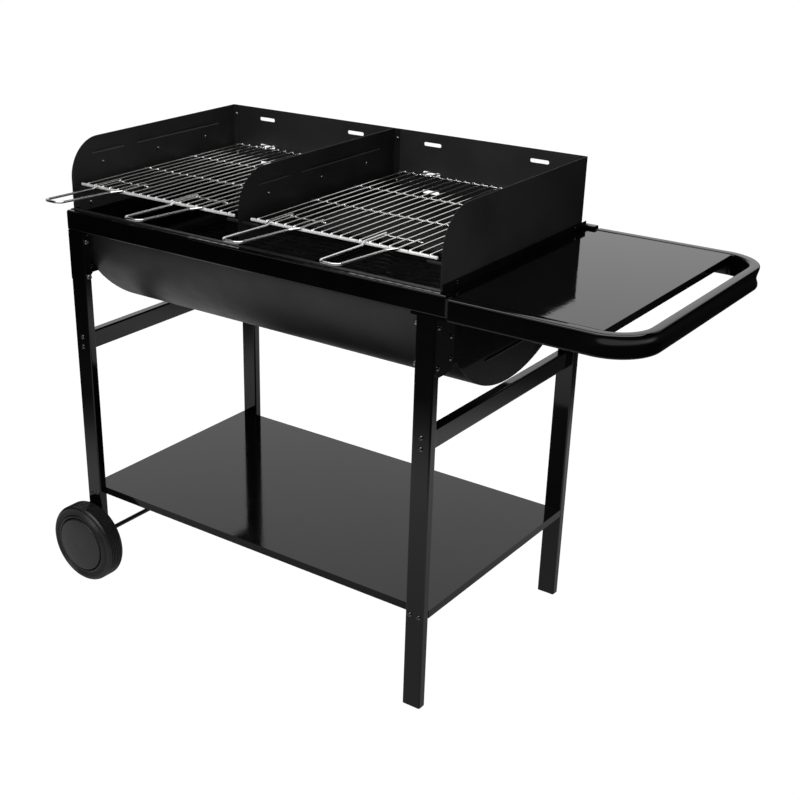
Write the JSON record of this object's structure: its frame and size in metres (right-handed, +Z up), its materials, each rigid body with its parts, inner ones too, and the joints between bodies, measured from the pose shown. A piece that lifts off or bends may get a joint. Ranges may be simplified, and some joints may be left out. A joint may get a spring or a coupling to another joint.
{
  "type": "half-barrel charcoal barbecue trolley",
  "caption": "Charcoal barbecue with a half-barrel fire trough, wire cooking grates in a wind guard, legs, wheels, a lower shelf and a side table with a push bar.",
  "frame": {"origin": "centre of the overall box, on the ground", "axes": "+Z up, +X along the barrel towards the side table, -Y towards the cook, the side with the grate handles"},
  "size_m": [1.345, 0.7502, 0.9845],
  "materials": {
    "frame_gloss": "gloss black powder coat",
    "sheet_gloss": "mirror gloss black powder coat",
    "barrel_paint": "satin black heat-proof paint",
    "guard_paint": "satin black heat-proof paint",
    "tray_paint": "matt black enamel",
    "chrome_wire": "bright plated wire",
    "zinc_steel": "zinc plated",
    "axle_black": "satin black",
    "fastener_black": "black oxide",
    "plug_plastic": "moulded black",
    "wheel_plastic": "moulded dark grey",
    "cap_plastic": "moulded dark grey"
  },
  "bodies": {
    "frame": {"leg_front_right": "frame_gloss", "leg_back_right": "frame_gloss", "leg_front_left": "frame_gloss", "leg_back_left": "frame_gloss", "foot_plugs": "plug_plastic", "rail_front": "frame_gloss", "rail_back": "frame_gloss", "rail_plugs": "plug_plastic", "rail_bolts": "fastener_black", "brace_right": "frame_gloss", "brace_left": "frame_gloss", "brace_bolts": "fastener_black", "shelf": "sheet_gloss", "shelf_bolts": "fastener_black", "shelf_nuts": "zinc_steel", "table_tube": "frame_gloss", "table_inserts": "plug_plastic", "table_bolts": "fastener_black", "table_panel": "sheet_gloss", "panel_screws": "fastener_black", "bracket_front_right": "frame_gloss", "bracket_back_right": "frame_gloss", "bracket_front_left": "frame_gloss", "bracket_back_left": "frame_gloss", "bracket_bolts": "fastener_black", "bracket_nuts": "zinc_steel", "barrel_shell": "barrel_paint", "barrel_end_right": "barrel_paint", "barrel_end_left": "barrel_paint", "guard_right": "guard_paint", "guard_divider": "guard_paint", "guard_left": "guard_paint", "guard_back": "guard_paint", "guard_screws": "fastener_black", "guard_studs": "fastener_black", "grate_pegs": "zinc_steel", "axle": "axle_black", "axle_washers": "zinc_steel", "axle_clips": "zinc_steel"},
    "front_wheel": {"wheel_front": "wheel_plastic", "hub_cap_front": "cap_plastic"},
    "rear_wheel": {"wheel_rear": "wheel_plastic", "hub_cap_rear": "cap_plastic"},
    "right_cooking_grate": {"cooking_grate_right": "chrome_wire", "grate_handles_right": "chrome_wire"},
    "left_cooking_grate": {"cooking_grate_left": "chrome_wire", "grate_handles_left": "chrome_wire"},
    "right_charcoal_grate": {"charcoal_grate_right": "tray_paint"},
    "left_charcoal_grate": {"charcoal_grate_left": "tray_paint"}
  },
  "joints": [
    {"name": "front_wheel_spin", "type": "hinge", "parent": "frame", "child": "front_wheel", "pos_m": [-0.5825, -0.2695, 0.09], "axis": [0, 1, 0], "continuous": true},
    {"name": "rear_wheel_spin", "type": "hinge", "parent": "frame", "child": "rear_wheel", "pos_m": [-0.5825, 0.3445, 0.09], "axis": [0, 1, 0], "continuous": true},
    {"name": "right_grate_pull", "type": "slide", "parent": "frame", "child": "right_cooking_grate", "axis": [0, -1, 0], "range_m": [0, 0.3]},
    {"name": "left_grate_pull", "type": "slide", "parent": "frame", "child": "left_cooking_grate", "axis": [0, -1, 0], "range_m": [0, 0.3]},
    {"name": "right_tray_lift", "type": "slide", "parent": "frame", "child": "right_charcoal_grate", "axis": [0, 0, 1], "range_m": [0, 0.12]},
    {"name": "left_tray_lift", "type": "slide", "parent": "frame", "child": "left_charcoal_grate", "axis": [0, 0, 1], "range_m": [0, 0.12]}
  ]
}
